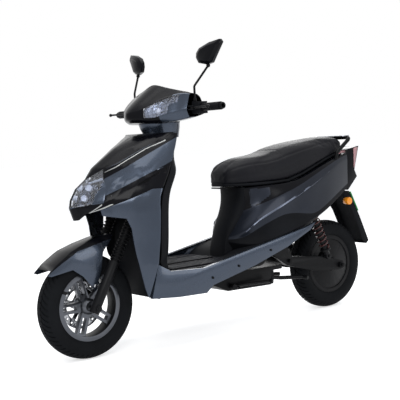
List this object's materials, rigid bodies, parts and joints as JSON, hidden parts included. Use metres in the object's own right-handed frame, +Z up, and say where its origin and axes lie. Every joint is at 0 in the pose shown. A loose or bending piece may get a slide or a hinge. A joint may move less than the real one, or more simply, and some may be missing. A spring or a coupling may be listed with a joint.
{
  "type": "moped scooter",
  "caption": "Step-through electric moped scooter with a fairing, flat floor, stepped seat, sprung fork, hub motor swingarm, mirrors and two stands, all built from separate moving pieces.",
  "frame": {"origin": "on the ground under the middle of the scooter's length and width", "axes": "+X to the rider's left, +Y rearwards, +Z up; the plane X = 0 is the middle of the scooter"},
  "size_m": [0.752, 1.763, 1.222],
  "materials": {
    "body_grey": "metallic blue-grey paint under clear lacquer, on moulded plastic",
    "gloss_black": "high gloss black moulding",
    "matt_black": "fine grained matt black moulding",
    "clear_lens": "clear faceted lens",
    "red_lens": "clear and red rear lens",
    "rubber": "ribbed black rubber",
    "tyre": "black tyre rubber",
    "black_steel": "satin black painted steel",
    "alloy": "machined and lacquered alloy",
    "bright_steel": "bright plated steel",
    "black_alloy": "satin black painted alloy",
    "leather": "black grained seat cover",
    "screen": "dark glossy screen",
    "plate": "plain green blank plate"
  },
  "bodies": {
    "frame": {"frame_front": "black_steel", "frame_floor": "black_steel", "frame_rear": "black_steel", "front_apron": "gloss_black", "apron_sides": "body_grey", "apron_lamps": "clear_lens", "leg_shields": "body_grey", "inner_leg_shield": "matt_black", "wheel_well_liner": "matt_black", "floor_board": "matt_black", "side_skirts": "body_grey", "battery_box": "black_steel", "battery_and_controller": "matt_black", "seat_front_panel": "matt_black", "side_covers": "gloss_black", "storage_bin": "matt_black", "tail_cover": "gloss_black", "tail_lamp": "red_lens", "grab_rail": "black_steel", "rack_plate": "alloy", "rear_mudguard": "matt_black", "plate_and_indicators": "plate", "body_screws": "bright_steel"},
    "steering": {"steering_stem": "black_steel", "handlebar": "black_steel", "cowl_top": "gloss_black", "cowl_front": "body_grey", "neck_cover": "body_grey", "headlamp": "clear_lens", "display": "screen", "left_grip": "rubber", "control_pods": "matt_black", "mirror_arms": "black_steel"},
    "fork_lower": {"fork_sliders": "black_alloy", "front_fender": "body_grey", "brake_caliper": "black_alloy", "fork_springs": "black_steel"},
    "front_wheel": {"front_rim": "alloy", "front_tyre": "tyre", "brake_disc": "bright_steel"},
    "swingarm": {"swingarm": "black_steel"},
    "rear_wheel": {"hub_motor": "black_alloy", "rear_tyre": "tyre"},
    "shock_upper_ends": {"shock_uppers": "bright_steel", "rear_springs": "black_steel"},
    "shock_lower_ends": {"shock_lowers": "black_alloy"},
    "seat": {"seat_base": "matt_black", "seat_cushion": "leather"},
    "centre_stand": {"centre_stand": "black_steel"},
    "side_stand": {"side_stand": "black_steel"},
    "throttle": {"throttle_grip": "rubber"},
    "left_lever": {"left_brake_lever": "black_alloy"},
    "right_lever": {"right_brake_lever": "black_alloy"},
    "left_mirror": {"left_mirror": "gloss_black"},
    "right_mirror": {"right_mirror": "gloss_black"},
    "horn_button": {"horn_button": "matt_black"},
    "turn_switch": {"turn_switch": "matt_black"},
    "light_switch": {"light_switch": "matt_black"},
    "key": {"key": "bright_steel"},
    "charge_cap": {"charge_cap": "rubber"}
  },
  "joints": [
    {"name": "steering", "type": "hinge", "parent": "frame", "child": "steering", "pos_m": [0, -0.635, 0.207], "axis": [0, 0.5, 0.866], "range_deg": [-38, 38]},
    {"name": "fork_slide", "type": "slide", "parent": "steering", "child": "fork_lower", "axis": [0, 0.5, 0.866], "range_m": [-0.02, 0.05], "stiffness_N_per_m": 16000, "springref_m": -0.014, "deforming": ["fork_springs"]},
    {"name": "front_wheel_spin", "type": "hinge", "parent": "fork_lower", "child": "front_wheel", "pos_m": [0, -0.675, 0.207], "axis": [1, 0, 0], "continuous": true},
    {"name": "swingarm_pivot", "type": "hinge", "parent": "frame", "child": "swingarm", "pos_m": [0, 0.297, 0.27], "axis": [1, 0, 0], "range_deg": [-3, 9], "stiffness_Nm_per_rad": 2400, "springref_deg": -2.86},
    {"name": "rear_wheel_spin", "type": "hinge", "parent": "swingarm", "child": "rear_wheel", "pos_m": [0, 0.64, 0.207], "axis": [1, 0, 0], "continuous": true},
    {"name": "shock_top_pivot", "type": "hinge", "parent": "frame", "child": "shock_upper_ends", "pos_m": [0, 0.42, 0.56], "axis": [1, 0, 0], "range_deg": [-1.2, 3.2], "deforming": ["rear_springs"]},
    {"name": "shock_foot_pivot", "type": "hinge", "parent": "swingarm", "child": "shock_lower_ends", "pos_m": [0, 0.545, 0.262], "axis": [1, 0, 0], "range_deg": [-6.6, 2.4]},
    {"name": "seat_hinge", "type": "hinge", "parent": "frame", "child": "seat", "pos_m": [0, 0.015, 0.616], "axis": [1, 0, 0], "range_deg": [0, 68]},
    {"name": "centre_stand_pivot", "type": "hinge", "parent": "frame", "child": "centre_stand", "pos_m": [0, 0.215, 0.205], "axis": [-1, 0, 0], "range_deg": [0, 90]},
    {"name": "side_stand_pivot", "type": "hinge", "parent": "frame", "child": "side_stand", "pos_m": [0.145, -0.046, 0.205], "axis": [-1, 0, 0], "range_deg": [0, 100]},
    {"name": "throttle_twist", "type": "hinge", "parent": "steering", "child": "throttle", "pos_m": [-0.308, -0.23002, 0.96045], "axis": [-1, 0, 0], "range_deg": [0, 70], "stiffness_Nm_per_rad": 0.4},
    {"name": "left_brake", "type": "hinge", "parent": "steering", "child": "left_lever", "pos_m": [0.23, -0.267, 0.96045], "axis": [0, 0, 1], "range_deg": [0, 12], "stiffness_Nm_per_rad": 4},
    {"name": "right_brake", "type": "hinge", "parent": "steering", "child": "right_lever", "pos_m": [-0.23, -0.267, 0.96045], "axis": [0, 0, -1], "range_deg": [0, 12], "stiffness_Nm_per_rad": 4},
    {"name": "left_mirror_turn", "type": "hinge", "parent": "steering", "child": "left_mirror", "pos_m": [0.252, -0.195, 1.124], "axis": [0, 0, 1], "range_deg": [-15, 15]},
    {"name": "right_mirror_turn", "type": "hinge", "parent": "steering", "child": "right_mirror", "pos_m": [-0.252, -0.195, 1.124], "axis": [0, 0, 1], "range_deg": [-15, 15]},
    {"name": "horn_press", "type": "slide", "parent": "steering", "child": "horn_button", "axis": [0, -1, 0], "range_m": [0, 0.003], "stiffness_N_per_m": 300},
    {"name": "turn_switch_slide", "type": "slide", "parent": "steering", "child": "turn_switch", "axis": [1, 0, 0], "range_m": [-0.004, 0.004], "stiffness_N_per_m": 200},
    {"name": "light_switch_press", "type": "slide", "parent": "steering", "child": "light_switch", "axis": [0, -1, 0], "range_m": [0, 0.003], "stiffness_N_per_m": 300},
    {"name": "key_turn", "type": "hinge", "parent": "frame", "child": "key", "pos_m": [-0.07, -0.275, 0.69], "axis": [0, 1, 0], "range_deg": [0, 90]},
    {"name": "charge_cap_hinge", "type": "hinge", "parent": "frame", "child": "charge_cap", "pos_m": [-0.1864, 0.145, 0.458], "axis": [0, 1, 0], "range_deg": [0, 110]}
  ],
  "couplings": [
    {"joint": "shock_top_pivot", "follows": "swingarm_pivot", "ratio": 0.3197},
    {"joint": "shock_foot_pivot", "follows": "swingarm_pivot", "ratio": -0.6803}
  ]
}
